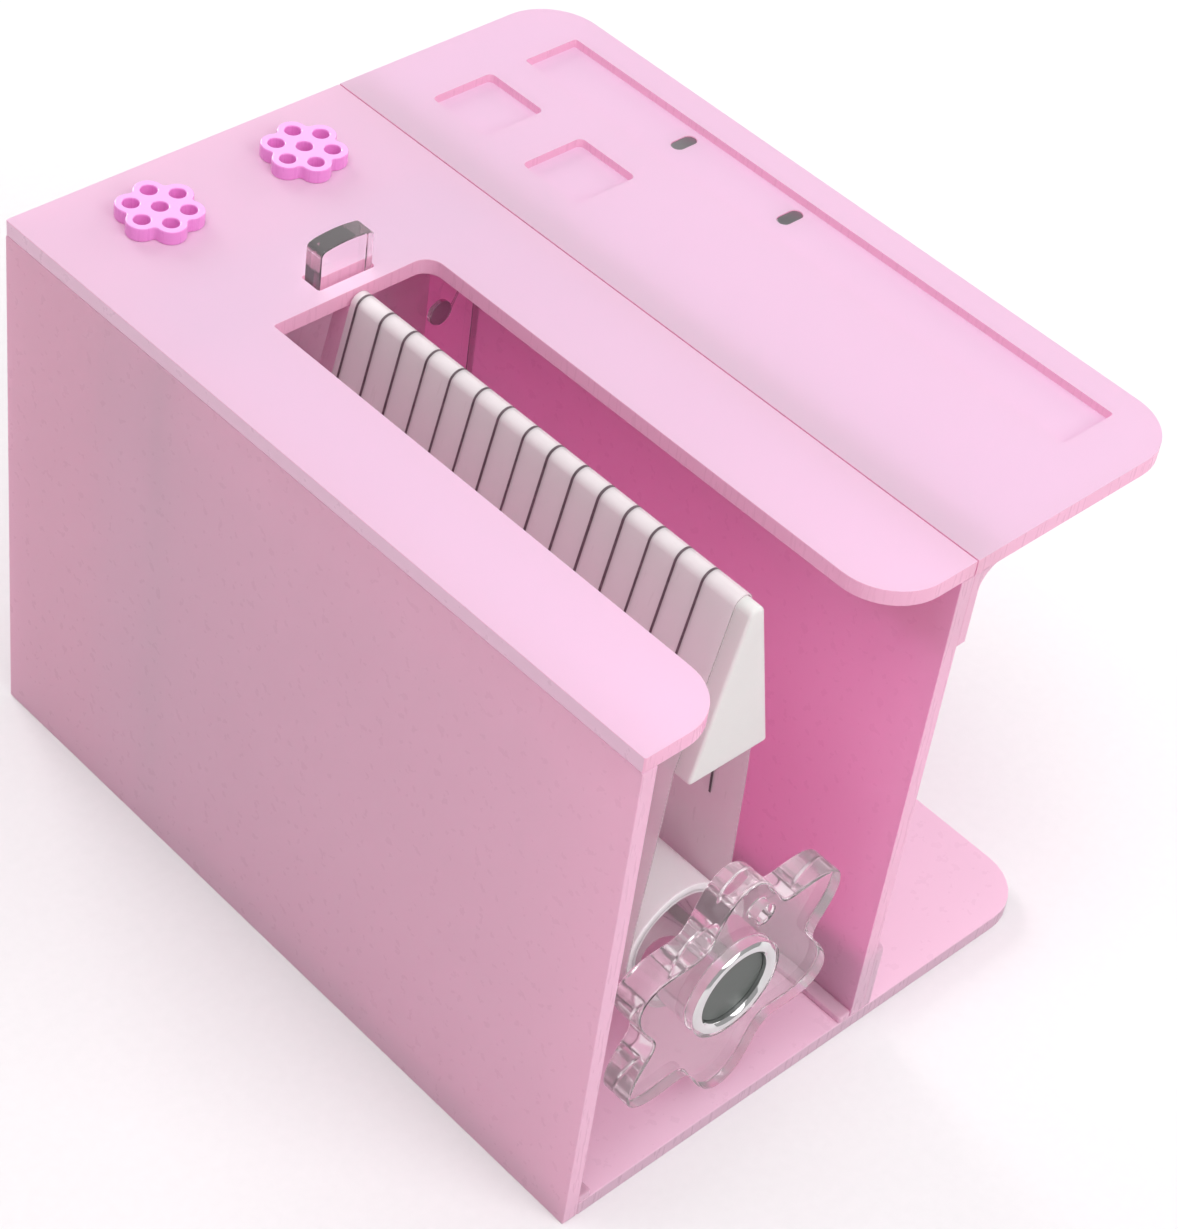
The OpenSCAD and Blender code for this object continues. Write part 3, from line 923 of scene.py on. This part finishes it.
def filmSpot(k, y, lift):
    # a point on the film: lift is counted from its inside face outwards
    p = filmPath[k] + outward(filmPath, k) * (lift + filmWave(k, y))
    return place(p.x, y, p.y)


def makeFilmPiece():
    ys = [filmFront + (filmBack - filmFront) * j / 42 for j in range(43)]
    work = bmesh.new()
    n = len(filmPath)
    grid = {}
    for layer, lift in enumerate((0, film["thickness"])):
        for k in range(n):
            for j, y in enumerate(ys):
                grid[layer, k, j] = work.verts.new(filmSpot(k, y, lift))
    for k in range(n):
        m = (k + 1) % n
        for j in range(len(ys) - 1):
            for layer in (0, 1):
                work.faces.new([grid[layer, k, j], grid[layer, m, j],
                                grid[layer, m, j + 1], grid[layer, k, j + 1]])
        for j in (0, len(ys) - 1):
            work.faces.new([grid[0, k, j], grid[0, m, j], grid[1, m, j], grid[1, k, j]])
    bmesh.ops.recalc_face_normals(work, faces=work.faces)
    mesh = bpy.data.meshes.new("ruledFilm")
    work.to_mesh(mesh)
    work.free()
    smoothShade(mesh)
    mesh.materials.append(materials["film"])
    weightNormals(newPiece("ruledFilm", mesh, "case", ["ruled_film"]))


makeFilmPiece()


def makeRules():
    # printed cross rules: they show on both faces of the thin film
    random.seed(7)
    work = bmesh.new()
    ruled = [k for k in range(len(filmPath)) if filmPath[k].y >= film["ruleEnd"]]
    inside, outside = -film["ruleProud"], film["thickness"] + film["ruleProud"]
    for i in range(film["ruleCount"]):
        y = film["firstRule"] - i * film["rulePitch"]
        half = film["ruleWidth"] / 2 * random.uniform(0.92, 1.08)
        shift = random.uniform(-1, 1) * film["ruleWobble"]
        rows = []
        for k in ruled:
            rows.append([work.verts.new(filmSpot(k, y + shift + side * half, lift))
                         for side, lift in ((-1, inside), (1, inside), (1, outside), (-1, outside))])
        for a, b in zip(rows, rows[1:]):
            for s in range(4):
                t = (s + 1) % 4
                work.faces.new((a[s], a[t], b[t], b[s]))
        work.faces.new(rows[0])
        work.faces.new(list(reversed(rows[-1])))
    bmesh.ops.recalc_face_normals(work, faces=work.faces)
    mesh = bpy.data.meshes.new("filmRules")
    work.to_mesh(mesh)
    work.free()
    mesh.materials.append(materials["ruleInk"])
    newPiece("filmRules", mesh, "case")


makeRules()
print("film and rules done")

# roller, hub, knob
roller = {"radius": 9.8, "rimInside": 8.6, "sink": 8.2, "sinkDepth": 0.6, "spindle": 3.0, "collar": 5.5}
hub = {"radius": 8.75, "bore": 6.7, "rim": 0.5, "gap": 0.03}
knob = {
    "meanRadius": 20.3, "wave": 3.4, "petals": 6, "turn": 33, "edge": 0.45,
    "fingerPitch": 14.9, "fingerTurn": 77, "fingerRadius": 1.7,
}

y0, y1 = frontBack("roller_core")
yFront = y0 + roller["sinkDepth"]
yBack = y1 - roller["sinkDepth"]
coreProfile = softCorners([
    (0, yFront), (roller["sink"], yFront), (roller["rimInside"], y0), (roller["radius"], y0),
    (roller["radius"], y1), (roller["rimInside"], y1), (roller["sink"], yBack), (0, yBack)], 0.2)
makeTurned("rollerCore", coreProfile, "roller", "whiteRoll", ["roller_core"])

y0, y1 = frontBack("knob_hub")
hubProfile = softCorners([
    (hub["bore"], y0 + hub["rim"]), (hub["bore"] + hub["rim"], y0), (hub["radius"] - hub["rim"], y0),
    (hub["radius"], y0 + hub["rim"]), (hub["radius"], y1), (hub["bore"], y1)], 0.2)
makeTurned("knobHub", hubProfile, "roller", "chrome", ["knob_hub"], closed=True)

y0, y1 = frontBack("hub_plug")
plugProfile = softCorners([(0, y0), (hub["bore"], y0), (hub["bore"], y1), (0, y1)], 0.2)
makeTurned("hubPlug", plugProfile, "roller", "plugDisc", ["hub_plug"])

y0, y1 = frontBack("spindle")
rodProfile = softCorners([
    (0, y0), (roller["spindle"], y0), (roller["spindle"], y1 - 0.5),
    (roller["spindle"] - 0.5, y1), (0, y1)], 0.12)
makeTurned("spindleRod", rodProfile, "roller", "turnedSteel", ["spindle"])

y0, y1 = frontBack("retaining_collar")
makeTurned("retainingCollar", ring(roller["spindle"], roller["collar"], y0, y1, 0.3),
           "roller", "turnedSteel", ["retaining_collar"], closed=True)


def makeKnob():
    low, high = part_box("flower_knob")
    outline = []
    for k in range(240):
        a = 2 * pi * k / 240
        r = knob["meanRadius"] + knob["wave"] * cos(knob["petals"] * (a - radians(knob["turn"])))
        outline.append(Vector((r * cos(a), r * sin(a))))
    bore = circleOutline(0, 0, hub["radius"] + hub["gap"], 96)
    a, pitch = radians(knob["fingerTurn"]), knob["fingerPitch"]
    finger = circleOutline(pitch * cos(a), pitch * sin(a), knob["fingerRadius"], 40)
    mesh = flatMesh("flowerKnob", [outline, bore, finger], (high - low).y / mm, knob["edge"], 4)
    setMesh(mesh, facingFront, Vector((axis.x, (low.y + high.y) / 2, axis.z)))
    sheetMaterials(mesh, materials["clearFace"], materials["clearEdge"], (0, 1, 0))
    weightNormals(newPiece("flowerKnob", mesh, "roller", ["flower_knob"]))


makeKnob()
print("roller and knob done")

# camera, light, floor
camera = {
    "place": (-0.2863, -0.2578, 0.3970),
    "forward": (0.5541, 0.4840, -0.6774), "up": (0.4034, 0.5557, 0.7270),
    "lens": 95.4, "sensor": 36,
}
lights = {
    "frontSoftbox": {"place": (0.12, -0.95, 0.84), "aim": (0, 0, 0.06), "size": 0.9, "power": 6.2},
    "overheadSoftbox": {"place": (-0.28, -0.10, 1.0), "aim": (0, 0, 0.08), "size": 0.7, "power": 4.3},
    "sideSoftbox": {"place": (0.95, -0.05, 0.30), "aim": (0.05, 0, 0.04), "size": 0.6, "power": 3.2},
    "backSoftbox": {"place": (0.10, 1.05, 0.50), "aim": (0, 0, 0.06), "size": 0.6, "power": 5.5},
}
floorLook = {"size": 6.0, "tone": (0.84, 0.835, 0.84), "world": 0.43}


def makeCamera():
    data = bpy.data.cameras.new("studioCamera")
    data.lens = camera["lens"]
    data.sensor_width = camera["sensor"]
    data.clip_start, data.clip_end = 0.01, 20
    eye = bpy.data.objects.new("studioCamera", data)
    bpy.context.scene.collection.objects.link(eye)
    back = -Vector(camera["forward"]).normalized()
    right = Vector(camera["up"]).cross(back).normalized()
    up = back.cross(right)
    turn = Matrix((right, up, back)).transposed().to_4x4()
    eye.matrix_world = Matrix.Translation(camera["place"]) @ turn
    bpy.context.scene.camera = eye


def makeLights():
    for name, spec in lights.items():
        data = bpy.data.lights.new(name, "AREA")
        data.shape = "DISK"
        data.size = spec["size"]
        data.energy = spec["power"]
        lamp = bpy.data.objects.new(name, data)
        bpy.context.scene.collection.objects.link(lamp)
        lamp.location = spec["place"]
        aim = Vector(spec["aim"]) - Vector(spec["place"])
        lamp.rotation_euler = aim.to_track_quat("-Z", "Y").to_euler()
    world = bpy.data.worlds.new("studio")
    world.use_nodes = True
    background = world.node_tree.nodes["Background"]
    background.inputs["Color"].default_value = (1.0, 0.99, 0.995, 1)
    background.inputs["Strength"].default_value = floorLook["world"]
    bpy.context.scene.world = world


def makeFloor():
    half = floorLook["size"] / 2
    mesh = bpy.data.meshes.new("studioFloor")
    corners = [(-half, -half, 0), (half, -half, 0), (half, half, 0), (-half, half, 0)]
    mesh.from_pydata(corners, [], [(0, 1, 2, 3)])
    material, nodes, links, shader, where = newMaterial("studioPaper")
    grain = addNoise(nodes, links, where, 500, 4, 0.6)
    low, high = mixTones(floorLook["tone"], 0.01)
    links.new(addColours(nodes, links, grain, [(0.3, low), (0.7, high)]), shader.inputs["Base Color"])
    shader.inputs["Roughness"].default_value = 0.85
    mesh.materials.append(material)
    floor = bpy.data.objects.new("studioFloor", mesh)
    bpy.context.scene.collection.objects.link(floor)


makeCamera()
makeLights()
makeFloor()
bpy.context.scene.view_settings.view_transform = "Standard"
print("camera and studio done")
